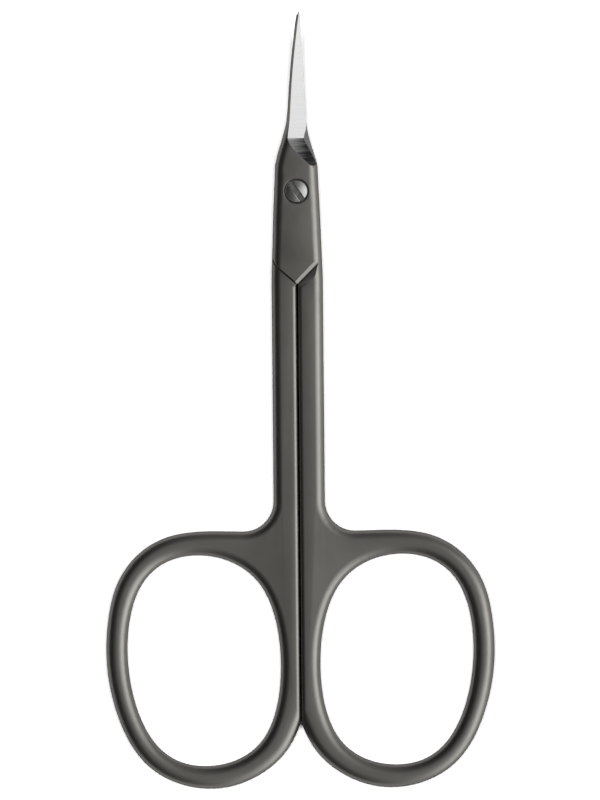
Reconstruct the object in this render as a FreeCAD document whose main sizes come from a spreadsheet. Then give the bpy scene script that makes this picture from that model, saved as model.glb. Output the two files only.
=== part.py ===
import FreeCAD, Part
import math
import os
import Sketcher

# Cuticle scissors lying on their back, closed, screw head up.
# X runs to the right, Y from the finger rings to the tips, Z up.
# The origin is on the pivot axis, in the plane that the scissors lie on.
# Both halves are forged in one piece: blade, lap, shank and finger ring.
# The front half has the upper lap and the right ring, the rear half the lower
# lap and the left ring. The screw turns in the front lap and is held by the
# thread in the rear lap.

os.makedirs("parts", exist_ok=True)
document = FreeCAD.newDocument("CuticleScissors")
vector = FreeCAD.Vector

# Sizes in millimetres, angles in degrees, shares without unit
sizes = [
    ("blade_length", 23.15, "pivot axis to the tips"),
    ("blade_root", 3.0, "pivot axis to where the laps end and the blades begin"),
    ("tip_stock", 1.15, "blade stock beyond the tips before they are cut"),
    ("root_half_width", 2.76, "half width of the joint at the blade root"),
    ("rear_lap_height", 1.9, "height of the rear lap, up to the plane in which the laps meet"),
    ("front_lap_height", 1.9, "height of the front lap at the blade root"),
    ("lap_clearance", 0.03, "running gap between the two laps and the two blades"),
    ("handle_length", 77.0, "pivot axis to the lower end of the rings"),
    ("ring_height", 2.6, "height of the rings at their lower end"),
    ("ring_length", 33.18, "top to bottom of a ring"),
    ("ring_width", 25.04, "parting line to the outer side of a ring"),
    ("ring_wire", 2.73, "width of the ring on its outer side"),
    ("ring_web", 2.53, "parting line to the finger hole"),
    ("ring_end_wire", 2.97, "width of the ring at its top and bottom"),
    ("shank_half_width", 3.31, "parting line to the outer side of a shank"),
    ("shank_shoulder", 14.5, "pivot axis to where the shank becomes straight"),
    ("flare_radius", 3.9, "hollow between the shank and the top of the ring"),
    ("outer_rounding", 1.22, "rounding of the outer edges and of the finger holes"),
    ("parting_rounding", 0.6, "rounding of the edges along the parting line"),
    ("shoulder_edge_rounding", 0.12, "broken edge of the lap along the V shoulder"),
    ("parting_gap", 0.09, "gap between the shanks below the joint"),
    ("ring_gap", 0.08, "gap between the flats of the rings when closed"),
    ("shoulder_depth", 12.0, "pivot axis to the point of the V shoulder"),
    ("shoulder_rise", 1.9, "height of the straight side of the V"),
    ("shoulder_run", 2.2, "half width of the straight side of the V"),
    ("shoulder_corner_rise", 2.6, "height of the rounded corner beside the V"),
    ("shoulder_corner_radius", 3.4, "rounded corner at the side of the V"),
    ("shoulder_clearance", 0.14, "gap between a lap and the shoulder of the other half"),
    ("groove_chamfer", 0.42, "lap side of the groove across the front of each half"),
    ("groove_foot", 0.16, "steep foot of the groove on the shank side"),
    ("groove_foot_height", 0.13, "height of the steep foot"),
    ("groove_wall", 0.75, "gentle side of the groove up to the shank"),
    ("groove_depth", 0.26, "depth of the groove"),
    ("groove_angle", 45.0, "direction of the groove across the shank"),
    ("shear_flat_radius", 5.5, "flat inner faces around the pivot, beyond it they curve up"),
    ("shear_curve_radius", 48.0, "radius of the curved inner faces of the blades"),
    ("front_rise_start", 8.0, "pivot axis to where the back of the front blade begins to rise"),
    ("front_end_height", 0.19, "height of the front blade stock over the inner face at its end"),
    ("rear_rise_start", 4.5, "pivot axis to where the back of the rear blade begins to rise"),
    ("rear_end_height", 0.23, "height of the rear blade stock under the inner face at its end"),
    ("stock_allowance", 3.0, "what the rear stock has above the inner face before it is cut"),
    ("bevel_angle", 33.0, "angle between the ground bevel and the inner face"),
    ("runout_start", 3.0, "pivot axis to the lower end of the ground face"),
    ("runout_lift", 3.25, "height of the bevel over the lap plane at its lower end"),
    ("runout_radius", 14.0, "radius of the wheel run-out"),
    ("bevel_start", 6.85, "pivot axis to the crease where the run-out meets the bevel"),
    ("front_edge_start", 1.56, "middle to the front cutting edge at the start of the bevel"),
    ("front_edge_end", 0.60, "middle to the line of the front cutting edge at the stock end"),
    ("rear_edge_start", 1.35, "middle to the rear cutting edge at the start of the bevel"),
    ("rear_edge_overrun", 0.36, "how far the rear cutting edge has crossed the middle there"),
    ("front_bevel_flatter", 6.0, "lengthwise radius of the front bevel over that of the inner face"),
    ("rear_bevel_flatter", 3.0, "lengthwise radius of the rear bevel over that of the inner face"),
    ("rear_blade_inset", 0.05, "how far the rear blade stays inside the front blade"),
    ("screw_head_diameter", 2.96, "diameter of the screw head"),
    ("screw_head_gap", 0.13, "gap round the screw head in its recess"),
    ("screw_head_height", 0.79, "height of the screw head"),
    ("screw_head_sink", 0.05, "how far the screw head lies below the lap"),
    ("screw_head_chamfer", 0.08, "broken edge of the screw head"),
    ("screw_head_crown", 0.20, "height of the dome of the screw head"),
    ("screw_shoulder_step", 0.1, "smooth shoulder over the thread, on each side"),
    ("screw_running_gap", 0.02, "gap round the shoulder in the front lap"),
    ("thread_diameter", 2.0, "outer diameter of the thread"),
    ("thread_depth", 0.22, "depth of the thread"),
    ("thread_pitch", 0.4, "pitch of the thread"),
    ("thread_gap", 0.015, "gap between the thread and the rear lap"),
    ("slot_width", 0.66, "width of the screwdriver slot"),
    ("slot_depth", 0.50, "depth of the screwdriver slot in the middle of the dome"),
    ("slot_edge_chamfer", 0.09, "broken upper edges of the slot"),
    ("slot_angle", 35.0, "direction of the slot, turned from the length of the scissors"),
    ("tool_reach", 40.0, "how far cutting shapes reach past the part"),
]

sheet = document.addObject("Spreadsheet::Sheet", "Sizes")
for row, (alias, number, meaning) in enumerate(sizes, start=1):
    sheet.set("A%d" % row, alias)
    sheet.set("B%d" % row, str(number))
    sheet.set("C%d" % row, meaning)
    sheet.setAlias("B%d" % row, alias)
document.recompute()


class Size:
    """A size kept as an expression on the sheet together with its present value."""

    def __init__(self, text, value):
        self.text = text
        self.value = value

    def __add__(self, other):
        other = as_size(other)
        return Size("(%s + %s)" % (self.text, other.text), self.value + other.value)

    def __sub__(self, other):
        other = as_size(other)
        return Size("(%s - %s)" % (self.text, other.text), self.value - other.value)

    def __mul__(self, other):
        other = as_size(other)
        return Size("(%s * %s)" % (self.text, other.text), self.value * other.value)

    def __truediv__(self, other):
        other = as_size(other)
        return Size("(%s / %s)" % (self.text, other.text), self.value / other.value)

    def __neg__(self):
        return Size("(0 - %s)" % self.text, -self.value)


def as_size(number):
    """A plain share or sign as a Size."""
    if isinstance(number, Size):
        return number
    return Size("%.6g" % number, float(number))


def cosine(angle):
    return Size("cos(%s)" % angle.text, math.cos(math.radians(angle.value)))


def sine(angle):
    return Size("sin(%s)" % angle.text, math.sin(math.radians(angle.value)))


def tangent(angle):
    return Size("tan(%s)" % angle.text, math.tan(math.radians(angle.value)))


def square_root(size):
    return Size("sqrt(%s)" % size.text, math.sqrt(size.value))


given = {alias: Size("Sizes.%s" % alias, number) for alias, number, meaning in sizes}
none = as_size(0)


def smaller(first, second):
    return Size("min(%s; %s)" % (first.text, second.text), min(first.value, second.value))


def inner_curve(distance, side):
    """Height of the curved inner face of a blade at a distance from the pivot axis."""
    radius = given["shear_curve_radius"]
    run = distance - given["shear_flat_radius"]
    return inner_height(side) + radius - square_root(radius * radius - run * run)


def inner_height(side):
    """Height of the flat inner face of a lap."""
    return given["rear_lap_height"] + given["lap_clearance"] / 2 * side


def top_height(along):
    """Height of the sloping top of the joint and the handles."""
    fall = (joint_height - given["ring_height"]) / (
        given["handle_length"] + given["front_rise_start"])
    return joint_height + fall * (along - given["front_rise_start"])


# Sizes that follow from the named ones
joint_height = given["rear_lap_height"] + given["front_lap_height"]
stock_end = given["blade_length"] + given["tip_stock"]
corner_top = (given["shoulder_rise"] + given["shoulder_corner_rise"] - given["shoulder_depth"])
corner_reach = given["shank_half_width"]
front_stock_top = inner_curve(stock_end, 1) + given["front_end_height"]
rear_stock_top = front_stock_top + given["stock_allowance"]
rear_stock_floor = inner_curve(stock_end, -1) - given["rear_end_height"]
screw_top = top_height(none) - given["screw_head_sink"]
screw_seat = screw_top - given["screw_head_height"]
screw_shoulder = given["thread_diameter"] + given["screw_shoulder_step"] * 2


# Shapes of the curved outlines, as shares

# Control points of the ring outline: share of the ring width from the parting
# line, share of the ring length from the lower end of the ring
ring_outline_shares = [
    (0.371, 1.0), (0.677, 1.020), (0.925, 0.866), (0.998, 0.681), (1.011, 0.423),
    (0.882, 0.133), (0.652, 0.007), (0.343, -0.014), (0.037, 0.130), (-0.041, 0.374),
]
ring_return_shares = (0.497, 0.633)

# Control points of the finger hole: shares of its width and length from its centre
finger_hole_shares = [
    (0.042, 0.540), (0.458, 0.418), (0.539, -0.039), (0.355, -0.442),
    (-0.012, -0.532), (-0.427, -0.427), (-0.535, -0.030), (-0.426, 0.411),
]

# Control points of the sides of a shank between the blade root and the straight
# part: share of the way down, share of the way out
lap_side_shares = [(0.05, 0.0), (0.30, 0.504), (0.60, 0.684), (0.80, 1.071), (0.90, 1.0)]

# Control points of the left and right outline of the closed blades: share of the
# half width at the root, share of the length from the root to the tip
blade_left_shares = [
    (-1.0, 0.030), (-0.701, 0.170), (-0.393, 0.292),
    (-0.343, 0.488), (-0.160, 0.746), (-0.031, 0.920), (0.062, 1.057),
]
blade_right_shares = [
    (1.0, 0.030), (0.670, 0.165), (0.489, 0.278),
    (0.428, 0.493), (0.316, 0.737), (0.251, 0.954), (0.193, 1.057),
]
# Control points of the cutting edges up to the tip, and of the tip beyond it.
# The front edge is relieved beside the crease of the run-out.
front_edge_shares = [
    (0.986, 0.020), (0.786, 0.075), (0.569, 0.135), (0.311, 0.190), (0.469, 0.235),
    (0.510, 0.290), (0.437, 0.420), (0.376, 0.620), (0.287, 0.800), (0.250, 0.954),
    (0.239, 1.0), (0.149, 1.0),
]
front_tip_shares = [(0.062, 1.0), (-0.010, 0.960), (-0.208, 0.850)]
rear_edge_shares = [
    (-0.985, 0.030), (-0.701, 0.170), (-0.393, 0.292), (-0.343, 0.488), (-0.160, 0.746),
    (-0.031, 0.920), (0.069, 1.0), (0.149, 1.0),
]
rear_tip_shares = [(0.242, 1.0), (0.272, 0.960), (0.437, 0.850)]

# Thread: share of the rear lap that is threaded, and where a ridge starts, is full
# and ends within a turn
threaded_share = 0.9
ridge_start_share = 0.1
ridge_top_share = 0.45
ridge_bottom_share = 0.65

# The outer edges are rounded by no more than this share of the ring's height
rounding_limit_share = 0.475

# A gap square to the V measured down along the scissors
diagonal_share = 1.33

# Slants that tell walls from level faces, and how near counts as equal
wall_slant_share = 0.1
level_slant_share = 0.7
near_share = 0.001


class Outline:
    """A closed outline in a sketch, with every corner and control point on the sheet."""

    def __init__(self, body, name, plane_role):
        self.sketch = body.newObject("Sketcher::SketchObject", name)
        plane = [item for item in body.Origin.OriginFeatures if item.Role == plane_role][0]
        self.sketch.AttachmentSupport = [(plane, "")]
        self.sketch.MapMode = "FlatFace"
        self.first = None
        self.last = None
        self.point = None

    def pin(self, geometry, position, point):
        for kind, size in (("DistanceX", point[0]), ("DistanceY", point[1])):
            index = self.sketch.addConstraint(
                Sketcher.Constraint(kind, -1, 1, geometry, position, size.value))
            if size.text != none.text:
                self.sketch.setExpression("Constraints[%d]" % index, size.text)

    def start(self, across, along):
        self.point = (as_size(across), as_size(along))
        self.origin_point = self.point

    def add(self, geometry, start_position, end_position, end, closing):
        if self.last is None:
            self.first = (geometry, start_position)
            self.pin(geometry, start_position, self.point)
        else:
            self.sketch.addConstraint(Sketcher.Constraint(
                "Coincident", self.last[0], self.last[1], geometry, start_position))
        if closing:
            self.sketch.addConstraint(Sketcher.Constraint(
                "Coincident", geometry, end_position, self.first[0], self.first[1]))
        else:
            self.pin(geometry, end_position, end)
        self.last = (geometry, end_position)
        self.point = end

    def line_to(self, across, along, closing=False):
        end = (as_size(across), as_size(along))
        here = vector(self.point[0].value, self.point[1].value, 0)
        there = vector(end[0].value, end[1].value, 0)
        geometry = self.sketch.addGeometry(Part.LineSegment(here, there), False)
        self.add(geometry, 1, 2, end, closing)

    def close(self):
        self.line_to(self.origin_point[0], self.origin_point[1], closing=True)

    def arc_to(self, across, along, radius, turn, closing=False):
        """An arc; turn is 1 with the centre left of the way, -1 with it right."""
        end = (as_size(across), as_size(along))
        here = vector(self.point[0].value, self.point[1].value, 0)
        there = vector(end[0].value, end[1].value, 0)
        half = (there - here) * (1 / 2)
        away = math.sqrt(max(radius.value ** 2 - half.Length ** 2, 0))
        side = vector(-half.y, half.x, 0).normalize() * (turn * away)
        centre = here + half + side
        angles = [math.atan2(end_point.y - centre.y, end_point.x - centre.x)
                  for end_point in (here, there)]
        if turn < 0:
            angles.reverse()
        if angles[1] < angles[0]:
            angles[1] += 2 * math.pi
        circle = Part.Circle(centre, vector(0, 0, 1), radius.value)
        geometry = self.sketch.addGeometry(Part.ArcOfCircle(circle, angles[0], angles[1]), False)
        positions = (1, 2) if turn > 0 else (2, 1)
        self.add(geometry, positions[0], positions[1], end, closing)
        index = self.sketch.addConstraint(
            Sketcher.Constraint("Radius", geometry, radius.value))
        self.sketch.setExpression("Constraints[%d]" % index, radius.text)

    def curve_to(self, points, closing=False):
        """A smooth curve led by control points, the last of them its end."""
        poles = [self.point] + [(as_size(across), as_size(along)) for across, along in points]
        spans = len(poles) - 3
        curve = Part.BSplineCurve()
        curve.buildFromPolesMultsKnots(
            [vector(across.value, along.value, 0) for across, along in poles],
            [4] + [1] * (spans - 1) + [4], list(range(spans + 1)), False, 3)
        geometry = self.sketch.addGeometry(curve, False)
        self.sketch.exposeInternalGeometry(geometry)
        self.add(geometry, 1, 2, poles[-1], closing)
        for offset, pole in enumerate(poles[1:-1], start=2):
            self.pin(geometry + offset, 3, pole)

    def ring(self, points):
        """A closed smooth curve led by control points."""
        poles = [(as_size(across), as_size(along)) for across, along in points]
        curve = Part.BSplineCurve()
        curve.buildFromPolesMultsKnots(
            [vector(across.value, along.value, 0) for across, along in poles],
            [1] * (len(poles) + 1), list(range(len(poles) + 1)), True, 3)
        geometry = self.sketch.addGeometry(curve, False)
        self.sketch.exposeInternalGeometry(geometry)
        for offset, pole in enumerate(poles, start=1):
            self.pin(geometry + offset, 3, pole)


def bind(feature, property_name, size):
    """Ties a length of a feature to the sheet."""
    feature.setExpression(property_name, size.text)


def check_volume(body, before, what):
    """Each cut must take something away."""
    document.recompute()
    after = body.Shape.Volume
    if not abs(after - before) > 0:
        raise ValueError("%s changes nothing" % what)
    return after


def cut_through(body, sketch, name):
    """Cuts an outline through the whole part, on both sides of its plane."""
    before = body.Shape.Volume
    pocket = body.newObject("PartDesign::Pocket", name)
    pocket.Profile = sketch
    pocket.Midplane = True
    bind(pocket, "Length", given["tool_reach"] * 4)
    sketch.Visibility = False
    check_volume(body, before, name)
    return pocket


def lap_side(side, direction):
    """Control points of the side of the joint, from the blade root to the straight shank."""
    root = given["root_half_width"]
    widening = given["shank_half_width"] - root
    way = given["blade_root"] + given["shank_shoulder"]
    points = [(as_size(side) * (root + widening * out), given["blade_root"] - way * down)
              for down, out in lap_side_shares]
    points.append((given["shank_half_width"] * side, -given["shank_shoulder"]))
    if direction < 0:
        points.reverse()
        points = points[1:] + [(root * side, given["blade_root"])]
    return points


def blade_points(shares, side):
    span = given["blade_length"] - given["blade_root"]
    return [(given["root_half_width"] * across * side, given["blade_root"] + span * along)
            for across, along in shares]


def make_blank(body, side):
    """Stock of one half: its plan outline, the finger hole, the top and the rounded edges."""
    root = given["root_half_width"]
    spine_shares = blade_left_shares if side > 0 else blade_right_shares
    spine_sign = 1 if side > 0 else -1
    outline = Outline(body, body.Name + "_Plan", "XY_Plane")
    outline.start(-root * side, given["blade_root"])
    spine = blade_points(spine_shares, 1)
    if side < 0:
        inset = given["rear_blade_inset"]
        spine = spine[:1] + [(across - inset, along) for across, along in spine[1:]]
    spine[-1] = (spine[-1][0], stock_end)
    outline.curve_to(spine)
    outline.line_to(root * side, stock_end)
    outline.line_to(root * side, given["blade_root"])
    outline.curve_to(lap_side(side, 1))
    top_of_ring = given["ring_length"] - given["handle_length"]
    outline.line_to(given["shank_half_width"] * side, top_of_ring + given["flare_radius"])
    outline.arc_to((given["shank_half_width"] + given["flare_radius"]) * side, top_of_ring,
                   given["flare_radius"], side)
    ring = [(given["ring_width"] * across * side,
             given["ring_length"] * along - given["handle_length"])
            for across, along in ring_outline_shares]
    ring += [(-given["shank_half_width"] * side,
              given["ring_length"] * along - given["handle_length"])
             for along in ring_return_shares]
    outline.curve_to(ring)
    outline.line_to(-given["shank_half_width"] * side, -given["shank_shoulder"])
    outline.curve_to(lap_side(-side, -1), closing=True)

    pad = body.newObject("PartDesign::Pad", body.Name + "_Stock")
    pad.Profile = outline.sketch
    bind(pad, "Length", rear_stock_top + joint_height)
    outline.sketch.Visibility = False
    document.recompute()

    hole = Outline(body, body.Name + "_FingerHole", "XY_Plane")
    hole_width = given["ring_width"] - given["ring_wire"] - given["ring_web"]
    hole_length = given["ring_length"] - given["ring_end_wire"] * 2
    centre_across = given["ring_web"] + hole_width / 2
    centre_along = given["ring_end_wire"] + hole_length / 2 - given["handle_length"]
    hole.ring([((centre_across + hole_width * across) * side, centre_along + hole_length * along)
               for across, along in finger_hole_shares])
    cut_through(body, hole.sketch, body.Name + "_FingerOpening")

    top = Outline(body, body.Name + "_TopProfile", "YZ_Plane")
    stock_top = front_stock_top if side > 0 else rear_stock_top
    above = given["tool_reach"]
    below_rings = -given["handle_length"] * 2
    top.start(below_rings, top_height(below_rings))
    top.line_to(given["front_rise_start"], joint_height)
    rise_length = stock_end - given["front_rise_start"]
    rise = stock_top - joint_height
    straight_rise = top_height(stock_end) - joint_height
    rise_radius = (rise_length * rise_length + rise * rise) / (rise - straight_rise) / 2
    top.arc_to(stock_end, stock_top, rise_radius, 1)
    top.line_to(stock_end + above, stock_top)
    top.line_to(stock_end + above, above)
    top.line_to(below_rings, above)
    top.close()
    cut_through(body, top.sketch, body.Name + "_Top")

    if side < 0:
        floor = Outline(body, body.Name + "_FloorProfile", "YZ_Plane")
        start = given["rear_rise_start"]
        run = stock_end - start
        lift = rear_stock_floor
        floor.start(start, 0)
        floor.arc_to(stock_end, lift, (run * run + lift * lift) / lift / 2, 1)
        floor.line_to(stock_end + above, lift)
        floor.line_to(stock_end + above, -above)
        floor.line_to(start, -above)
        floor.close()
        cut_through(body, floor.sketch, body.Name + "_Floor")

    stock = body.Tip
    edges = level_edges(stock.Shape, before_stock_end)
    rounded = body.newObject("PartDesign::Fillet", body.Name + "_OuterRounding")
    rounded.Base = (stock, edges)
    bind(rounded, "Radius", smaller(given["outer_rounding"],
                                    given["ring_height"] * rounding_limit_share))
    document.recompute()


def face_slant(face):
    """How much the face looks up or down, 0 for a wall and 1 for a level face."""
    start_u, end_u, start_v, end_v = face.ParameterRange
    return abs(face.normalAt((start_u + end_u) / 2, (start_v + end_v) / 2).z)


def before_stock_end(point):
    """Whether a point lies clear of the end of the blade stock."""
    return abs(point.y - stock_end.value) > stock_end.value * near_share


def lift_sketch(outline, height):
    """Moves an outline drawn on the ground plane up to a height."""
    outline.sketch.setExpression("AttachmentOffset.Base.z", height.text)


def cut_one_way(body, sketch, name, upwards):
    """Cuts an outline from its plane all the way up or down."""
    before = body.Shape.Volume
    pocket = body.newObject("PartDesign::Pocket", name)
    pocket.Profile = sketch
    pocket.Type = "ThroughAll"
    pocket.Reversed = upwards
    sketch.Visibility = False
    check_volume(body, before, name)


def shoulder_point():
    """How far the V goes on down to the parting line beyond the middle."""
    return given["parting_gap"] / 2 * given["shoulder_rise"] / given["shoulder_run"]


def part_handles(body, side):
    """Takes away what lies beyond the V shoulder and the parting line."""
    far = given["tool_reach"] * 2
    outline = Outline(body, body.Name + "_PartingPlan", "XY_Plane")
    outline.start(-far * side, corner_top)
    outline.line_to(-corner_reach * side, corner_top)
    outline.arc_to(-given["shoulder_run"] * side, given["shoulder_rise"] - given["shoulder_depth"],
                   given["shoulder_corner_radius"], side)
    outline.line_to(given["parting_gap"] / 2 * side, -given["shoulder_depth"] - shoulder_point())
    outline.line_to(given["ring_gap"] / 2 * side, -given["handle_length"])
    outline.line_to(-far * side, -given["handle_length"])
    outline.close()
    cut_through(body, outline.sketch, body.Name + "_Parting")


def level_edges(shape, inside):
    """Names of the edges between a wall and a level face whose middle lies inside."""
    names = []
    for number, edge in enumerate(shape.Edges, start=1):
        slants = sorted(face_slant(face) for face in shape.ancestorsOfType(edge, Part.Face))
        middle = edge.valueAt((edge.FirstParameter + edge.LastParameter) / 2)
        level_and_wall = slants[0] < wall_slant_share and slants[-1] > level_slant_share
        if level_and_wall and inside(middle):
            names.append("Edge%d" % number)
    return names


def beside_gap(point):
    """Whether a point lies along the straight part of the parting line."""
    return (abs(point.x) < given["parting_gap"].value
            and point.y < -given["shoulder_depth"].value)


def on_shoulder(point, side):
    """Whether a point lies on the V shoulder of a half."""
    across = -point.x * side
    above_point = point.y > -given["shoulder_depth"].value
    below_corner = point.y < corner_top.value * (1 + near_share)
    on_its_side = -given["parting_gap"].value < across < corner_reach.value
    return above_point and below_corner and on_its_side


def round_parting_edges(body, side):
    """Rounds the edges along the parting line and breaks those along the V shoulder."""
    for name, radius, inside in (
            ("PartingRounding", given["parting_rounding"], beside_gap),
            ("ShoulderRounding", given["shoulder_edge_rounding"],
             lambda point: on_shoulder(point, side))):
        stock = body.Tip
        edges = level_edges(stock.Shape, inside)
        rounded = body.newObject("PartDesign::Fillet", "%s_%s" % (body.Name, name))
        rounded.Base = (stock, edges)
        bind(rounded, "Radius", radius)
        document.recompute()


def halve_joint(body, side):
    """Takes away the layer of the joint that belongs to the other half."""
    far = given["tool_reach"]
    gap = given["shoulder_clearance"]
    drop = gap * diagonal_share
    outline = Outline(body, body.Name + "_LapPlan", "XY_Plane")
    outline.start(-far * side, given["shear_flat_radius"])
    outline.line_to(far * side, given["shear_flat_radius"])
    outline.line_to(far * side, corner_top)
    outline.line_to((corner_reach + gap) * side, corner_top)
    outline.arc_to(given["shoulder_run"] * side,
                   given["shoulder_rise"] - given["shoulder_depth"] - drop,
                   given["shoulder_corner_radius"] + gap, -side)
    outline.line_to(0, -given["shoulder_depth"] - drop)
    outline.line_to(-far * side, -given["shoulder_depth"] - drop)
    outline.close()
    lift_sketch(outline, inner_height(side))
    cut_one_way(body, outline.sketch, body.Name + "_Lap", side < 0)


def hollow_blade(body, side):
    """Turns the inner face of the blade about the pivot axis."""
    start = given["shear_flat_radius"]
    end = stock_end + joint_height
    outline = Outline(body, body.Name + "_InnerProfile", "YZ_Plane")
    outline.start(start, inner_height(side))
    outline.arc_to(end, inner_curve(end, side), given["shear_curve_radius"], 1)
    outline.line_to(end, -given["tool_reach"] * side)
    outline.line_to(start, -given["tool_reach"] * side)
    outline.close()
    before = body.Shape.Volume
    groove = body.newObject("PartDesign::Groove", body.Name + "_InnerFace")
    groove.Profile = outline.sketch
    groove.ReferenceAxis = (outline.sketch, ["V_Axis"])
    groove.Angle = 180
    groove.Midplane = True
    outline.sketch.Visibility = False
    check_volume(body, before, groove.Name)


def trim_blade(body, side):
    """Cuts the blade to its cutting edge and tip."""
    far = given["tool_reach"]
    root = given["root_half_width"]
    span = given["blade_length"] - given["blade_root"]
    inset = none
    if side < 0:
        inset = given["rear_blade_inset"]
        span = span - inset
    edge_shares, tip_shares = ((front_edge_shares, front_tip_shares) if side > 0
                               else (rear_edge_shares, rear_tip_shares))
    edge = [(root * across + inset, given["blade_root"] + span * along)
            for across, along in edge_shares]
    tip = [(root * across, given["blade_root"] + span * along) for across, along in tip_shares]
    outline = Outline(body, body.Name + "_EdgePlan", "XY_Plane")
    outline.start(root * side, given["blade_root"])
    outline.curve_to(edge)
    outline.curve_to(tip)
    outline.line_to(-far * side, tip[-1][1])
    outline.line_to(-far * side, far)
    outline.line_to(far * side, far)
    outline.line_to(far * side, given["blade_root"])
    outline.close()
    cut_through(body, outline.sketch, body.Name + "_Edge")


def grind_bevel(body, side):
    """Grinds the bevel with its run-out, on a plane that leans by the bevel angle."""
    angle = given["bevel_angle"]
    lean = cosine(angle)
    bevel_start = given["bevel_start"]
    outline = Outline(body, body.Name + "_BevelProfile", "YZ_Plane")
    sketch = outline.sketch
    sketch.AttachmentOffset = FreeCAD.Placement(
        vector(0, 0, 0), FreeCAD.Rotation(vector(1, 0, 0), angle.value))
    sketch.setExpression("AttachmentOffset.Rotation.Angle", angle.text)
    if side > 0:
        start_offset = given["front_edge_start"]
        end_offset = given["front_edge_end"]
        radius = given["shear_curve_radius"] + given["front_bevel_flatter"]
    else:
        start_offset = -given["rear_edge_start"]
        end_offset = given["rear_edge_overrun"]
        radius = given["shear_curve_radius"] + given["rear_bevel_flatter"]
    runout_height = inner_height(side) + given["runout_lift"] * side
    start_height = inner_curve(bevel_start, side) + start_offset * tangent(angle)
    end_height = inner_curve(stock_end, side) + end_offset * tangent(angle)
    outline.start(given["runout_start"], runout_height * lean)
    outline.arc_to(bevel_start, start_height * lean, given["runout_radius"], side)
    outline.arc_to(stock_end, end_height * lean, radius, 1)
    outline.line_to(stock_end, given["tool_reach"] * side)
    outline.line_to(given["runout_start"], given["tool_reach"] * side)
    outline.close()
    cut_through(body, sketch, body.Name + "_Bevel")


def cut_groove(body, side):
    """Mills the groove between the lap and the shank of the same half."""
    angle = given["groove_angle"]
    surface = top_height(-given["shoulder_depth"]) if side > 0 else none
    turn = angle + 90 if side > 0 else as_size(270) - angle
    outline = Outline(body, body.Name + "_GrooveProfile", "XZ_Plane")
    sketch = outline.sketch
    back = given["groove_chamfer"]
    sketch.AttachmentOffset = FreeCAD.Placement(
        vector(0, 0, 0), FreeCAD.Rotation(vector(0, 1, 0), turn.value))
    sketch.setExpression("AttachmentOffset.Rotation.Angle", turn.text)
    sketch.setExpression("AttachmentOffset.Base.x", (-cosine(angle) * back * side).text)
    sketch.setExpression("AttachmentOffset.Base.z",
                         (given["shoulder_depth"] + sine(angle) * back).text)
    bottom = surface - given["groove_depth"] * side
    foot = bottom + given["groove_foot_height"] * side
    above = surface + given["groove_depth"] * side
    far_wall = given["groove_foot"] + given["groove_wall"] * (
        (given["groove_depth"] * 2 - given["groove_foot_height"])
        / (given["groove_depth"] - given["groove_foot_height"]))
    outline.start(0, bottom)
    outline.line_to(given["groove_chamfer"] * 2 * side, above)
    outline.line_to(-far_wall * side, above)
    outline.line_to(-given["groove_foot"] * side, foot)
    outline.close()
    before = body.Shape.Volume
    pocket = body.newObject("PartDesign::Pocket", body.Name + "_Groove")
    pocket.Profile = sketch
    pocket.Reversed = True
    bind(pocket, "Length", given["shank_half_width"] * 4)
    sketch.Visibility = False
    check_volume(body, before, pocket.Name)


def circle_sketch(body, name, diameter):
    """A circle round the pivot axis on the ground plane."""
    outline = Outline(body, name, "XY_Plane")
    radius = diameter / 2
    circle = outline.sketch.addGeometry(
        Part.Circle(vector(0, 0, 0), vector(0, 0, 1), radius.value), False)
    outline.sketch.addConstraint(Sketcher.Constraint("Coincident", circle, 3, -1, 1))
    index = outline.sketch.addConstraint(Sketcher.Constraint("Radius", circle, radius.value))
    outline.sketch.setExpression("Constraints[%d]" % index, radius.text)
    return outline


def thread_profile(gap):
    """Points of the thread from the shoulder down: a ridge for every turn."""
    crest = given["thread_diameter"] / 2 + gap
    core = crest - given["thread_depth"]
    top = inner_height(-1)
    points = [(core, top)]
    turns = int(top.value * threaded_share / given["thread_pitch"].value)
    for turn in range(turns):
        start = top - given["thread_pitch"] * turn
        points.append((core, start - given["thread_pitch"] * ridge_start_share))
        points.append((crest, start - given["thread_pitch"] * ridge_top_share))
        points.append((crest, start - given["thread_pitch"] * ridge_bottom_share))
        points.append((core, start - given["thread_pitch"]))
    return points


def revolve(body, outline, kind, name):
    feature = body.newObject(kind, name)
    feature.Profile = outline.sketch
    feature.ReferenceAxis = (outline.sketch, ["V_Axis"])
    feature.Angle = 360
    outline.sketch.Visibility = False
    document.recompute()
    return feature


def drill_front(body):
    """Running bore and recess for the screw head."""
    bore = circle_sketch(body, "Front_BorePlan",
                         screw_shoulder + given["screw_running_gap"] * 2)
    cut_through(body, bore.sketch, "Front_Bore")
    recess = circle_sketch(body, "Front_RecessPlan",
                           given["screw_head_diameter"] + given["screw_head_gap"] * 2)
    lift_sketch(recess, screw_seat - given["screw_running_gap"])
    cut_one_way(body, recess.sketch, "Front_Recess", True)


def tap_rear(body):
    """Threaded hole in the rear lap."""
    outline = Outline(body, "Rear_ThreadProfile", "XZ_Plane")
    points = thread_profile(given["thread_gap"])
    outline.start(0, joint_height)
    outline.line_to(points[0][0], joint_height)
    for across, height in points:
        outline.line_to(across, height)
    outline.line_to(points[-1][0], -joint_height)
    outline.line_to(0, -joint_height)
    outline.close()
    before = body.Shape.Volume
    revolve(body, outline, "PartDesign::Groove", "Rear_Thread")
    check_volume(body, before, "Rear_Thread")


def on_slot_edge(point):
    """Whether a point lies in the middle of an upper edge of the slot."""
    near_middle = math.hypot(point.x, point.y) < given["slot_width"].value
    return near_middle and point.z > screw_top.value - given["slot_depth"].value / 2


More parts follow.
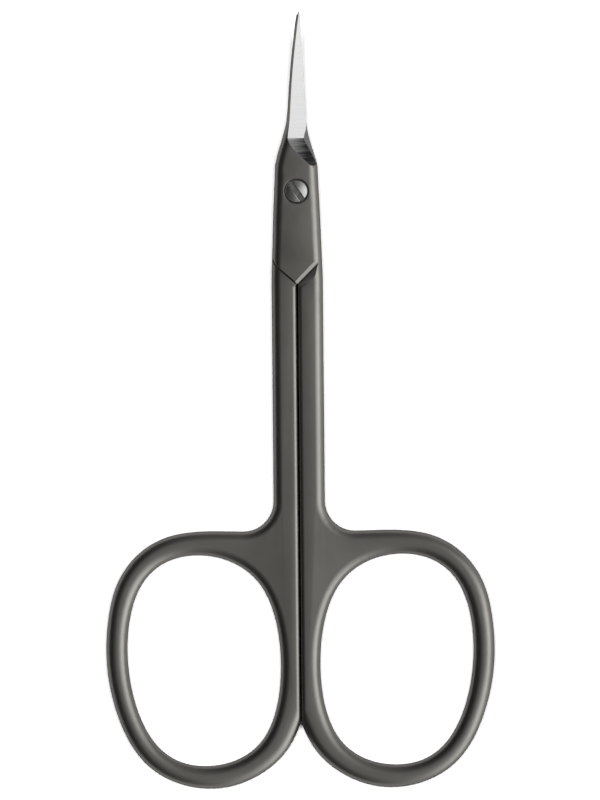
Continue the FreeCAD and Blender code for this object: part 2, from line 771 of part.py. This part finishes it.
def make_screw():
    body = document.addObject("PartDesign::Body", "Screw")
    body.Label = "pivot_screw"
    head = given["screw_head_diameter"] / 2
    chamfer = given["screw_head_chamfer"]
    shoulder = screw_shoulder / 2
    top = screw_top
    points = thread_profile(none)
    outline = Outline(body, "Screw_Profile", "XZ_Plane")
    crown = given["screw_head_crown"]
    rim = head - chamfer
    outline.start(0, top)
    outline.arc_to(rim, top - crown, (rim * rim + crown * crown) / crown / 2, -1)
    outline.line_to(head, top - crown - chamfer)
    outline.line_to(head, screw_seat)
    outline.line_to(shoulder, screw_seat)
    outline.line_to(shoulder, points[0][1])
    for across, height in points:
        outline.line_to(across, height)
    outline.line_to(points[-1][0], 0)
    outline.line_to(0, 0)
    outline.close()
    revolve(body, outline, "PartDesign::Revolution", "Screw_Turned")

    slot = Outline(body, "Screw_SlotPlan", "XY_Plane")
    slot.sketch.AttachmentOffset = FreeCAD.Placement(
        vector(0, 0, 0), FreeCAD.Rotation(vector(0, 0, 1), given["slot_angle"].value))
    slot.sketch.setExpression("AttachmentOffset.Rotation.Angle", given["slot_angle"].text)
    lift_sketch(slot, top - given["slot_depth"])
    half = given["slot_width"] / 2
    length = given["screw_head_diameter"]
    slot.start(-half, -length)
    slot.line_to(half, -length)
    slot.line_to(half, length)
    slot.line_to(-half, length)
    slot.close()
    cut_one_way(body, slot.sketch, "Screw_Slot", True)

    slotted = body.Tip
    broken = body.newObject("PartDesign::Chamfer", "Screw_SlotEdges")
    broken.Base = (slotted, level_edges(slotted.Shape, on_slot_edge))
    bind(broken, "Size", given["slot_edge_chamfer"])
    return body


def make_half(name, label, side):
    body = document.addObject("PartDesign::Body", name)
    body.Label = label
    make_blank(body, side)
    part_handles(body, side)
    round_parting_edges(body, side)
    halve_joint(body, side)
    hollow_blade(body, side)
    trim_blade(body, side)
    grind_bevel(body, side)
    cut_groove(body, side)
    return body


front = make_half("Front", "front_half", 1)
drill_front(front)
rear = make_half("Rear", "rear_half", -1)
tap_rear(rear)
screw = make_screw()
nodes = (front, rear, screw)
document.recompute()

# Nothing is written unless every object and every piece is sound
for item in document.Objects:
    if "Invalid" in item.State or "Error" in item.State:
        raise ValueError("%s is not sound: %s" % (item.Name, item.getStatusString()))
for body in nodes:
    if body.Shape.isNull() or not body.Shape.isValid() or len(body.Shape.Solids) != 1:
        raise ValueError("%s has no single valid solid" % body.Label)
for body in nodes:
    body.Shape.exportStep("parts/%s.step" % body.Label)
    print(body.Label, body.Shape.Volume, body.Shape.BoundBox)
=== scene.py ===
import math

import bmesh
import bpy
from bpy.props import FloatProperty, FloatVectorProperty, PointerProperty
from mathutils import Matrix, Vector


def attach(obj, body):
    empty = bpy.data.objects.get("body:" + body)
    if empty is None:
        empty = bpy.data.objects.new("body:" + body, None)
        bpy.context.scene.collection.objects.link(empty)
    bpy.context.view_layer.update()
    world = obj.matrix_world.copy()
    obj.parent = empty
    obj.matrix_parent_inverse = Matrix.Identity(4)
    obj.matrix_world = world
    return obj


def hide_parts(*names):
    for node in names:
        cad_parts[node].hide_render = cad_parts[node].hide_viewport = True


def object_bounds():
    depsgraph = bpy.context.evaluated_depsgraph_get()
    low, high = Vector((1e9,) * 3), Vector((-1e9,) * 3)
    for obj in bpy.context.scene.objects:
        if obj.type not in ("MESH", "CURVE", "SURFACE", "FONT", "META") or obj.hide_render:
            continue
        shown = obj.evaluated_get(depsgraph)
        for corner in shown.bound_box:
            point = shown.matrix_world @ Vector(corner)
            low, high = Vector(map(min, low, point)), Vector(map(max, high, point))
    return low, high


bl_info = {
    "name": "Cuticle scissors",
    "version": (1, 0, 0),
    "blender": (4, 5, 0),
    "location": "3D View > Sidebar > Scissors",
    "description": "Finishes a pair of forged cuticle scissors and sets them on a studio floor",
    "category": "Object",
}

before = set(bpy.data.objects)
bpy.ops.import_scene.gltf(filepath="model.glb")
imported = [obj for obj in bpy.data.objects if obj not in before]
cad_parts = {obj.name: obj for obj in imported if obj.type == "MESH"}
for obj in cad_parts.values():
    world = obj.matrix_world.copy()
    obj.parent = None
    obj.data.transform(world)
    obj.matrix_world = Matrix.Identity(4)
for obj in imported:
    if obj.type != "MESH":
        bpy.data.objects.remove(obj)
cad_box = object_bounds()

MILLIMETRE = 0.001
pixels_per_millimetre = 7.75


def linear(hex_colour):
    """Linear red, green and blue of an sRGB hex colour."""
    channels = [int(hex_colour[start:start + 2], 16) / 255 for start in (1, 3, 5)]
    return tuple(c / 12.92 if c <= 0.04045 else ((c + 0.055) / 1.055) ** 2.4 for c in channels)


# Places on the forged halves, in the frame's own axes
joint_split_height = 1.9 * MILLIMETRE
lap_flat_radius = 5.5 * MILLIMETRE
lap_lower_end = -13.0 * MILLIMETRE
inner_curve_radius = 48.0 * MILLIMETRE
bevel_lean = math.radians(33.0)
runout_start = 3.0 * MILLIMETRE
runout_end = 6.85 * MILLIMETRE
# From left to right, where the painted shade on the run-out starts and where it is darkest
runout_painted_shade = (-0.4 * MILLIMETRE, 1.4 * MILLIMETRE)

# Places on the screw
along_scissors = 90.0
slot_lean = 35.0
slot_turn = math.radians(along_scissors + slot_lean)
slot_half_width = 0.33 * MILLIMETRE
head_seat_height = 2.86 * MILLIMETRE

# How near a face has to lie to a place or a direction to count as there
near_inner_face = 0.06 * MILLIMETRE
near_slot_wall = 0.0066 * MILLIMETRE
near_direction = 0.035

# Part of a face's normal that has to point up or down in an upper or lower face
facing_part = 0.3

# Distance within which points of a mesh are merged, and angle from which an edge is sharp
merge_distance = 0.0005 * MILLIMETRE
sharp_angle = math.radians(22.0)


class ScissorsSizes(bpy.types.PropertyGroup):
    """Sizes that a user would change."""

    edge_rounding: FloatProperty(
        name="Broken edges", description="Radius to which every sharp edge is broken",
        default=0.13 * MILLIMETRE, min=0.0, precision=6, subtype="DISTANCE", unit="LENGTH")
    # A real dimple is about 0.05 mm wide, too fine for the picture, so it is drawn coarser
    blasted_grain: FloatProperty(
        name="Blasted grain", description="Width of a dimple of the blasted finish",
        default=0.16 * MILLIMETRE, min=0.00001, precision=6, subtype="DISTANCE", unit="LENGTH")
    # Real lines are about 0.05 mm apart, too fine for the picture, so they are drawn coarser
    grinding_pitch: FloatProperty(
        name="Grinding lines", description="Distance between the lines that the wheel left",
        default=0.22 * MILLIMETRE, min=0.00001, precision=6, subtype="DISTANCE", unit="LENGTH")
    # This is the real distance, which shows only from near
    turning_pitch: FloatProperty(
        name="Turning lines", description="Distance between the turning lines of the screw head",
        default=0.07 * MILLIMETRE, min=0.00001, precision=6, subtype="DISTANCE", unit="LENGTH")
    pixel: FloatProperty(
        name="Pixel", description="Width of the object that one pixel of the picture shows",
        default=MILLIMETRE / pixels_per_millimetre, min=0.00001, precision=6,
        subtype="DISTANCE", unit="LENGTH")
    camera_distance: FloatProperty(
        name="Camera distance", description="Height of the camera over the scissors",
        default=3.0, min=0.1, subtype="DISTANCE", unit="LENGTH")
    floor_width: FloatProperty(
        name="Floor", description="Width of the floor",
        default=6.0, min=0.5, subtype="DISTANCE", unit="LENGTH")


class ScissorsColours(bpy.types.PropertyGroup):
    """Colours that a user would change."""

    satin_steel: FloatVectorProperty(
        name="Satin steel", description="Blasted stainless steel of handles and joint",
        default=linear("#807e7a"), size=3, min=0.0, max=1.0, subtype="COLOR")
    ground_steel: FloatVectorProperty(
        name="Ground steel", description="Bare ground stainless steel of the blades",
        default=linear("#a7a7a7"), size=3, min=0.0, max=1.0, subtype="COLOR")
    turned_steel: FloatVectorProperty(
        name="Turned steel", description="Bare turned stainless steel of the screw",
        default=linear("#b4b4b1"), size=3, min=0.0, max=1.0, subtype="COLOR")
    floor: FloatVectorProperty(
        name="Floor", description="Pale paper that the scissors lie on",
        default=linear("#e8e8e8"), size=3, min=0.0, max=1.0, subtype="COLOR")


def add_node(tree, kind, inputs=None, **settings):
    """Adds a node, with its settings, and its inputs as values or as links from other nodes."""
    node = tree.nodes.new(kind)
    for name, value in settings.items():
        setattr(node, name, value)
    for name, value in (inputs or {}).items():
        if isinstance(value, bpy.types.NodeSocket):
            tree.links.new(value, node.inputs[name])
        else:
            node.inputs[name].default_value = value
    return node


def new_material(name):
    """An empty material and its node tree."""
    material = bpy.data.materials.new(name)
    material.use_nodes = True
    material.node_tree.nodes.clear()
    return material, material.node_tree


def finish_metal(tree, colour, roughness, normal, **more):
    """A metal shader on the material's output."""
    inputs = {"Base Color": colour, "Metallic": 1.0, "Roughness": roughness, "Normal": normal}
    inputs.update(more)
    shader = add_node(tree, "ShaderNodeBsdfPrincipled", inputs)
    add_node(tree, "ShaderNodeOutputMaterial", {"Surface": shader.outputs["BSDF"]})


# Values between which nearly all of a noise lies
noise_low, noise_high = 0.3, 0.7


def tones(tree, noise, dark, light):
    """A colour between two tones, the lighter one where the noise is high."""
    lightness = add_node(tree, "ShaderNodeMapRange", {
        "Value": noise, "From Min": noise_low, "From Max": noise_high})
    # Inputs 6 and 7 of a Mix node are its colours, and output 2 is the mixed colour
    return add_node(tree, "ShaderNodeMix", {
        "Factor": lightness.outputs["Result"], 6: (*dark, 1), 7: (*light, 1)},
        data_type="RGBA").outputs[2]


def shade(colour, share):
    """A tone of a colour, darker where the share is under 1."""
    return tuple(channel * share for channel in colour)


# Width of the faint clouds on the blasted steel, in grains
cloud_grains = 40


def make_satin_steel(sizes, colours):
    """Stainless steel, forged, tumbled and glass-blasted: a soft dark sheen with a fine,
    even grain and faint clouds, and edges that are broken rather than sharp."""
    material, tree = new_material("glass_blasted_stainless_steel")
    place = add_node(tree, "ShaderNodeTexCoord").outputs["Object"]
    grain = add_node(tree, "ShaderNodeTexNoise", {
        "Vector": place, "Scale": 1 / sizes.blasted_grain, "Detail": 3.0, "Roughness": 0.6})
    clouds = add_node(tree, "ShaderNodeTexNoise", {
        "Vector": place, "Scale": 1 / (cloud_grains * sizes.blasted_grain),
        "Detail": 3.0})
    rounded = add_node(tree, "ShaderNodeBevel", {"Radius": sizes.edge_rounding}, samples=6)
    bump = add_node(tree, "ShaderNodeBump", {
        "Strength": 0.35, "Distance": 0.006 * MILLIMETRE, "Height": grain.outputs["Fac"],
        "Normal": rounded.outputs["Normal"]})
    colour = tones(tree, clouds.outputs["Fac"], shade(colours.satin_steel, 0.94),
                   shade(colours.satin_steel, 1.06))
    roughness = add_node(tree, "ShaderNodeMapRange", {
        "Value": grain.outputs["Fac"], "To Min": 0.30, "To Max": 0.42})
    # The pits of the blasted skin take light away from grazing reflections
    finish_metal(tree, colour, roughness.outputs["Result"], bump.outputs["Normal"],
                 **{"Specular Tint": (0.3, 0.3, 0.3, 1)})
    return material


# Width of a grinding or milling line, as a share of its length
line_width_share = 0.04
# Radius of a fine edge, as a share of the broken edges of the handles
fine_edge_share = 0.3
# Amount by which the painted shade lifts the lines at its start and lowers them at its end
painted_shade_shift = 0.2


def make_lined_steel(name, light, contrast, pitch, depth, roughness, broken_edge,
                     turn=0.0, painted_shade_places=None):
    """Stainless steel with the lines of a wheel or cutter, across the scissors when the turn
    is zero. The contrast is how much darker the dark lines are, the depth how deep. Painted
    shade, given as two places from left to right, makes the colour lighter at the first and
    darker at the second."""
    material, tree = new_material(name)
    place = add_node(tree, "ShaderNodeTexCoord").outputs["Object"]
    turned = add_node(tree, "ShaderNodeMapping", {"Vector": place, "Rotation": (0, 0, turn)})
    stretched = add_node(tree, "ShaderNodeMapping", {
        "Vector": turned.outputs["Vector"],
        "Scale": (line_width_share, 1.0, line_width_share)})
    lines = add_node(tree, "ShaderNodeTexNoise", {
        "Vector": stretched.outputs["Vector"], "Scale": 1 / pitch,
        "Detail": 4.0, "Roughness": 0.65})
    rounded = add_node(tree, "ShaderNodeBevel", {"Radius": broken_edge}, samples=6)
    bump = add_node(tree, "ShaderNodeBump", {
        "Strength": 0.4, "Distance": depth, "Height": lines.outputs["Fac"],
        "Normal": rounded.outputs["Normal"]})
    lightness = lines.outputs["Fac"]
    # Painted shade: between its two places the colour goes from lighter to darker, left to right
    if painted_shade_places:
        across = add_node(tree, "ShaderNodeSeparateXYZ", {"Vector": place}).outputs["X"]
        shift = add_node(tree, "ShaderNodeMapRange", {
            "Value": across, "From Min": painted_shade_places[0], "From Max": painted_shade_places[1],
            "To Min": painted_shade_shift, "To Max": -painted_shade_shift})
        lightness = add_node(tree, "ShaderNodeMath", {
            0: lightness, 1: shift.outputs["Result"]}).outputs["Value"]
    colour = tones(tree, lightness, shade(light, 1 - contrast), light)
    rough = add_node(tree, "ShaderNodeMapRange", {
        "Value": lines.outputs["Fac"], "To Min": roughness[0], "To Max": roughness[1]})
    finish_metal(tree, colour, rough.outputs["Result"], bump.outputs["Normal"])
    return material


def make_ground_steel(sizes, colours):
    """The blades, ground on a fine wheel: bright, with faint lines across the blade."""
    return make_lined_steel(
        "ground_stainless_steel", colours.ground_steel, contrast=0.08,
        pitch=sizes.grinding_pitch, depth=0.004 * MILLIMETRE, roughness=(0.21, 0.31),
        broken_edge=fine_edge_share * sizes.edge_rounding)


def make_runout_steel(sizes, colours):
    """Where the wheel ran out: deep dark lines, and painted shade, a colour darker than the
    blade's that darkens more to the right. The edge towards the lap is broken."""
    return make_lined_steel(
        "coarse_ground_steel_painted_shade", shade(colours.ground_steel, 0.75), contrast=0.90,
        pitch=sizes.grinding_pitch, depth=0.016 * MILLIMETRE, roughness=(0.24, 0.40),
        broken_edge=sizes.edge_rounding, painted_shade_places=runout_painted_shade)


def make_milled_steel(sizes, colours):
    """The slot of the screw: rougher than the head, lines of the cutter, painted shade darkens it.
    """
    return make_lined_steel(
        "milled_steel_painted_shade", shade(colours.turned_steel, 0.65), contrast=0.50,
        pitch=sizes.grinding_pitch, depth=0.008 * MILLIMETRE, roughness=(0.30, 0.45),
        broken_edge=fine_edge_share * sizes.edge_rounding, turn=slot_turn)


# Radius of the broken edges of the screw, as a share of those of the handles
screw_edge_share = 0.6


def make_turned_steel(sizes, colours):
    """Stainless steel, turned on a lathe: bright, with fine rings round the axis."""
    material, tree = new_material("turned_stainless_steel")
    place = add_node(tree, "ShaderNodeTexCoord").outputs["Object"]
    apart = add_node(tree, "ShaderNodeSeparateXYZ", {"Vector": place})
    flat = add_node(tree, "ShaderNodeCombineXYZ", {
        "X": apart.outputs["X"], "Y": apart.outputs["Y"]})
    radius = add_node(tree, "ShaderNodeVectorMath", {0: flat.outputs["Vector"]},
                      operation="LENGTH")
    rings = add_node(tree, "ShaderNodeTexNoise", {
        "W": radius.outputs["Value"], "Scale": 1 / sizes.turning_pitch, "Detail": 2.0},
        noise_dimensions="1D")
    rounded = add_node(tree, "ShaderNodeBevel", {
        "Radius": screw_edge_share * sizes.edge_rounding}, samples=6)
    bump = add_node(tree, "ShaderNodeBump", {
        "Strength": 0.3, "Distance": 0.006 * MILLIMETRE, "Height": rings.outputs["Fac"],
        "Normal": rounded.outputs["Normal"]})
    colour = tones(tree, rings.outputs["Fac"], shade(colours.turned_steel, 0.85),
                   colours.turned_steel)
    roughness = add_node(tree, "ShaderNodeMapRange", {
        "Value": rings.outputs["Fac"], "To Min": 0.12, "To Max": 0.20})
    around = add_node(tree, "ShaderNodeTangent", direction_type="RADIAL", axis="Z")
    finish_metal(tree, colour, roughness.outputs["Result"], bump.outputs["Normal"],
                 Anisotropic=0.35, Tangent=around.outputs["Tangent"])
    return material


def merged_copy(node, name):
    """A copy of a CAD node's mesh with its triangles merged, ready for smooth shading."""
    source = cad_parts[node].data
    mesh = bpy.data.meshes.new(name)
    shape = bmesh.new()
    shape.from_mesh(source)
    bmesh.ops.remove_doubles(shape, verts=shape.verts, dist=merge_distance)
    for edge in shape.edges:
        edge.smooth = len(edge.link_faces) == 2 and edge.calc_face_angle() < sharp_angle
    for face in shape.faces:
        face.smooth = True
        face.material_index = 0
    shape.to_mesh(mesh)
    shape.free()
    piece = bpy.data.objects.new(name, mesh)
    bpy.context.scene.collection.objects.link(piece)
    return piece


def steady_normals(piece):
    """Lets the large flat faces lead the smooth shading, and fixes the result."""
    weigh = piece.modifiers.new("FaceWeights", "WEIGHTED_NORMAL")
    weigh.keep_sharp = True
    weigh.weight = 80
    view = bpy.context.evaluated_depsgraph_get()
    finished = bpy.data.meshes.new_from_object(
        piece.evaluated_get(view), preserve_all_data_layers=True, depsgraph=view)
    piece.modifiers.remove(weigh)
    piece.data = finished


def inner_height(distance):
    """Height of the inner faces at a distance from the pivot axis, between the two halves."""
    run = max(distance - lap_flat_radius, 0)
    return joint_split_height + inner_curve_radius - math.sqrt(inner_curve_radius ** 2 - run ** 2)


def finish_of(face, side):
    """Number of a face's finish: 0 blasted, 1 ground on the bevel and the inner faces, 2
    coarse on the run-out. side is 1 on the front half and -1 on the rear half."""
    middle = face.center
    ruling = Vector((math.cos(bevel_lean), 0, -math.sin(bevel_lean)))
    on_blade = middle.y > runout_start
    if (on_blade and abs(face.normal.dot(ruling)) < near_direction
            and face.normal.z * side > facing_part):
        return 1 if middle.y > runout_end else 2
    distance = math.hypot(middle.x, middle.y)
    on_inner_face = (middle.y > lap_lower_end and face.normal.z * side < -facing_part
                     and abs(middle.z - inner_height(distance)) < near_inner_face)
    return 1 if on_inner_face else 0


def in_slot(face):
    """Whether a face of the screw is the floor or a wall of its slot."""
    across = face.center.dot(Vector((math.sin(slot_turn), -math.cos(slot_turn), 0)))
    within_walls = abs(across) < slot_half_width + near_slot_wall
    return within_walls and face.center.z > head_seat_height


class SCISSORS_OT_halves(bpy.types.Operator):
    """Finishes the two forged halves: blasted outside, ground blades and inner faces"""

    bl_idname = "scissors.halves"
    bl_label = "Forged halves"

    def execute(self, context):
        sizes, colours = context.scene.scissors_sizes, context.scene.scissors_colours
        finishes = [make(sizes, colours)
                    for make in (make_satin_steel, make_ground_steel, make_runout_steel)]
        for node, body, side in (("front_half", "front", 1), ("rear_half", "rear", -1)):
            piece = merged_copy(node, "finished_" + node)
            for finish in finishes:
                piece.data.materials.append(finish)
            for face in piece.data.polygons:
                face.material_index = finish_of(face, side)
            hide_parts(node)
            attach(piece, body)
        return {"FINISHED"}


class SCISSORS_OT_screw(bpy.types.Operator):
    """Finishes the slotted pivot screw"""

    bl_idname = "scissors.screw"
    bl_label = "Pivot screw"

    def execute(self, context):
        sizes, colours = context.scene.scissors_sizes, context.scene.scissors_colours
        piece = merged_copy("pivot_screw", "finished_pivot_screw")
        piece.data.materials.append(make_turned_steel(sizes, colours))
        piece.data.materials.append(make_milled_steel(sizes, colours))
        for face in piece.data.polygons:
            face.material_index = 1 if in_slot(face) else 0
        steady_normals(piece)
        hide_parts("pivot_screw")
        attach(piece, "screw")
        return {"FINISHED"}


# Length of the fibres in the paper
fibre_length = 1.0 * MILLIMETRE
# How much brighter the paper is where the camera sees it, and where steel mirrors it, than
# where it only sheds light
seen_white = 2.0
mirrored_white = 1.05


def make_floor(sizes, colours):
    """Pale seamless paper. Seen directly or mirrored, it is lifted to white, and the
    object's soft shadow stays on it."""
    material, tree = new_material("pale_paper")
    place = add_node(tree, "ShaderNodeTexCoord").outputs["Object"]
    fibres = add_node(tree, "ShaderNodeTexNoise", {
        "Vector": place, "Scale": 1 / fibre_length, "Detail": 4.0})
    bump = add_node(tree, "ShaderNodeBump", {
        "Strength": 0.05, "Distance": 0.01 * MILLIMETRE, "Height": fibres.outputs["Fac"]})
    colour = tones(tree, fibres.outputs["Fac"], shade(colours.floor, 0.99), colours.floor)
    rays = add_node(tree, "ShaderNodeLightPath")
    brightness = 1.0
    for kind, white in (("Is Transmission Ray", mirrored_white),
                        ("Is Glossy Ray", mirrored_white), ("Is Camera Ray", seen_white)):
        # Input 0 of a Mix node is its factor, and inputs 2 and 3 are its numbers
        brightness = add_node(tree, "ShaderNodeMix", {
            0: rays.outputs[kind], 2: brightness, 3: white}).outputs[0]
    lifted = add_node(tree, "ShaderNodeVectorMath", {
        0: colour, "Scale": brightness}, operation="SCALE")
    paper = add_node(tree, "ShaderNodeBsdfDiffuse", {
        "Color": lifted.outputs["Vector"], "Normal": bump.outputs["Normal"]})
    add_node(tree, "ShaderNodeOutputMaterial", {"Surface": paper.outputs["BSDF"]})

    half = sizes.floor_width / 2
    mesh = bpy.data.meshes.new("floor")
    mesh.from_pydata([(-half, -half, 0), (half, -half, 0), (half, half, 0), (-half, half, 0)],
                     [], [(0, 1, 2, 3)])
    mesh.materials.append(material)
    floor = bpy.data.objects.new("floor", mesh)
    floor.location.z = cad_box[0][2]
    bpy.context.scene.collection.objects.link(floor)


# The studio that the steel mirrors. Its light changes across the scissors, from a dark side
# on the left to a long strip light on the right. Each stop is a direction's share to the
# right, from -1 to 1, and the brightness there.
room_stops = ((-1.0, 0.05), (-0.5, 0.08), (-0.2, 0.22), (0.0, 0.52), (0.2, 0.80),
              (0.45, 1.00), (1.0, 0.75))
strip_stops = ((0.12, 0.0), (0.42, 0.95), (0.62, 2.0), (0.72, 2.55), (0.89, 2.55),
               (0.97, 0.4), (1.0, 0.0))
# Stops in the same way along the scissors, from the rings to the tips, by which the
# brightness of the room and of the strip light is multiplied
room_along_stops = ((-1.0, 0.85), (-0.4, 0.90), (0.0, 1.0), (0.35, 0.60), (1.0, 0.50))
strip_along_stops = ((-1.0, 0.70), (-0.5, 0.80), (-0.1, 0.98), (0.15, 1.0), (0.6, 0.0))
# The pale horizon shows where less than this part of a direction points up or down
horizon_edge = 0.03
horizon_brightness = 1.0


def brightness_along(tree, place, stops):
    """Brightness led by stops along one part of a direction, given as a share from 0 to 1."""
    ramp = add_node(tree, "ShaderNodeValToRGB", {"Fac": place})
    ramp.color_ramp.interpolation = "EASE"
    brightest = max(level for share, level in stops)
    elements = ramp.color_ramp.elements
    while len(elements) > 1:
        elements.remove(elements[-1])
    for number, (share, level) in enumerate(stops):
        position = (share + 1) / 2
        element = elements[0] if number == 0 else elements.new(position)
        element.position = position
        element.color = (*[level / brightest] * 3, 1)
    return add_node(tree, "ShaderNodeMath", {0: ramp.outputs["Color"], 1: brightest},
                    operation="MULTIPLY").outputs["Value"]


def make_world():
    """A dim studio with a strip light along the right, and a pale horizon. It shows in the
    steel and past the floor, and leaves the lighting of the paper to the lamps."""
    world = bpy.data.worlds.new("studio")
    world.use_nodes = True
    tree = world.node_tree
    tree.nodes.clear()
    direction = add_node(tree, "ShaderNodeTexCoord").outputs["Generated"]
    parts = add_node(tree, "ShaderNodeSeparateXYZ", {"Vector": direction})
    across = add_node(tree, "ShaderNodeMapRange", {
        "Value": parts.outputs["X"], "From Min": -1.0}).outputs["Result"]
    along = add_node(tree, "ShaderNodeMapRange", {
        "Value": parts.outputs["Y"], "From Min": -1.0}).outputs["Result"]
    room = add_node(tree, "ShaderNodeMath", {
        0: brightness_along(tree, across, room_stops),
        1: brightness_along(tree, along, room_along_stops)}, operation="MULTIPLY")
    strip = add_node(tree, "ShaderNodeMath", {
        0: brightness_along(tree, across, strip_stops),
        1: brightness_along(tree, along, strip_along_stops)}, operation="MULTIPLY")
    total = add_node(tree, "ShaderNodeMath", {0: room.outputs["Value"], 1: strip.outputs["Value"]})
    above = add_node(tree, "ShaderNodeMath", {0: parts.outputs["Z"]}, operation="ABSOLUTE")
    horizon = add_node(tree, "ShaderNodeMath", {0: above.outputs["Value"], 1: horizon_edge},
                       operation="LESS_THAN")
    strength = add_node(tree, "ShaderNodeMix", {
        0: horizon.outputs["Value"], 2: total.outputs["Value"],
        3: horizon_brightness}).outputs[0]
    background = add_node(tree, "ShaderNodeBackground", {"Strength": strength})
    add_node(tree, "ShaderNodeOutputWorld", {"Surface": background.outputs["Background"]})
    world.cycles_visibility.diffuse = False
    bpy.context.scene.world = world


# Sizes and places of the two lamps, in metres, and the power of each in watts
lamp_height = 0.9
lamp_offset = 0.18
lamp_width = 0.24
lamp_length = 0.3
lamp_power = 4.3


def add_lamp(name, across):
    """A soft lamp, long along the scissors, that looks at their middle. It lights the paper;
    the steel mirrors the studio instead."""
    light = bpy.data.lights.new(name, "AREA")
    light.shape = "RECTANGLE"
    # Turned to look down, the lamp has its own X axis along the scissors
    light.size = lamp_length
    light.size_y = lamp_width
    light.energy = lamp_power
    lamp = bpy.data.objects.new(name, light)
    middle = (Vector(cad_box[0]) + Vector(cad_box[1])) / 2
    lamp.location = (across, middle.y, lamp_height)
    lamp.rotation_euler = (middle - lamp.location).to_track_quat("-Z", "Y").to_euler()
    lamp.visible_camera = False
    lamp.visible_glossy = False
    bpy.context.scene.collection.objects.link(lamp)


def add_camera(sizes):
    """A long lens straight over the scissors, framed and turned as in the picture."""
    width_pixels, height_pixels = 600, 800
    pivot_pixel = (296.4, 191.4)
    lean = math.radians(-0.516)
    data = bpy.data.cameras.new("camera")
    data.lens = data.sensor_width * sizes.camera_distance / (height_pixels * sizes.pixel)
    data.clip_end = 20.0
    camera = bpy.data.objects.new("camera", data)
    right = Vector((math.cos(lean), math.sin(lean), 0))
    up = Vector((-math.sin(lean), math.cos(lean), 0))
    across = (width_pixels / 2 - pivot_pixel[0]) * sizes.pixel
    down = (height_pixels / 2 - pivot_pixel[1]) * sizes.pixel
    camera.location = right * across - up * down + Vector((0, 0, sizes.camera_distance))
    camera.rotation_euler = (0, 0, lean)
    bpy.context.scene.collection.objects.link(camera)
    bpy.context.scene.camera = camera


class SCISSORS_OT_stage(bpy.types.Operator):
    """Makes the floor, the studio light and the camera"""

    bl_idname = "scissors.stage"
    bl_label = "Studio"

    def execute(self, context):
        sizes, colours = context.scene.scissors_sizes, context.scene.scissors_colours
        make_floor(sizes, colours)
        make_world()
        # One on each side of the parting gap's line of sight, so that the gap stays dark
        add_lamp("left_lamp", -lamp_offset)
        add_lamp("right_lamp", lamp_offset)
        add_camera(sizes)
        context.scene.view_settings.view_transform = "Standard"
        return {"FINISHED"}


class SCISSORS_PT_panel(bpy.types.Panel):
    """Lists the sizes, the colours and the steps"""

    bl_label = "Cuticle scissors"
    bl_idname = "SCISSORS_PT_panel"
    bl_space_type = "VIEW_3D"
    bl_region_type = "UI"
    bl_category = "Scissors"

    def draw(self, context):
        for group in (context.scene.scissors_sizes, context.scene.scissors_colours):
            for name in group.__annotations__:
                self.layout.prop(group, name)
        for operator in (SCISSORS_OT_halves, SCISSORS_OT_screw, SCISSORS_OT_stage):
            self.layout.operator(operator.bl_idname)


classes = (ScissorsSizes, ScissorsColours, SCISSORS_OT_halves, SCISSORS_OT_screw,
           SCISSORS_OT_stage, SCISSORS_PT_panel)


def register():
    for kind in classes:
        bpy.utils.register_class(kind)
    bpy.types.Scene.scissors_sizes = PointerProperty(type=ScissorsSizes)
    bpy.types.Scene.scissors_colours = PointerProperty(type=ScissorsColours)


def unregister():
    del bpy.types.Scene.scissors_colours
    del bpy.types.Scene.scissors_sizes
    for kind in reversed(classes):
        bpy.utils.unregister_class(kind)


def main():
    register()
    bpy.ops.scissors.stage()
    bpy.ops.scissors.halves()
    bpy.ops.scissors.screw()


if __name__ == "__main__":
    main()
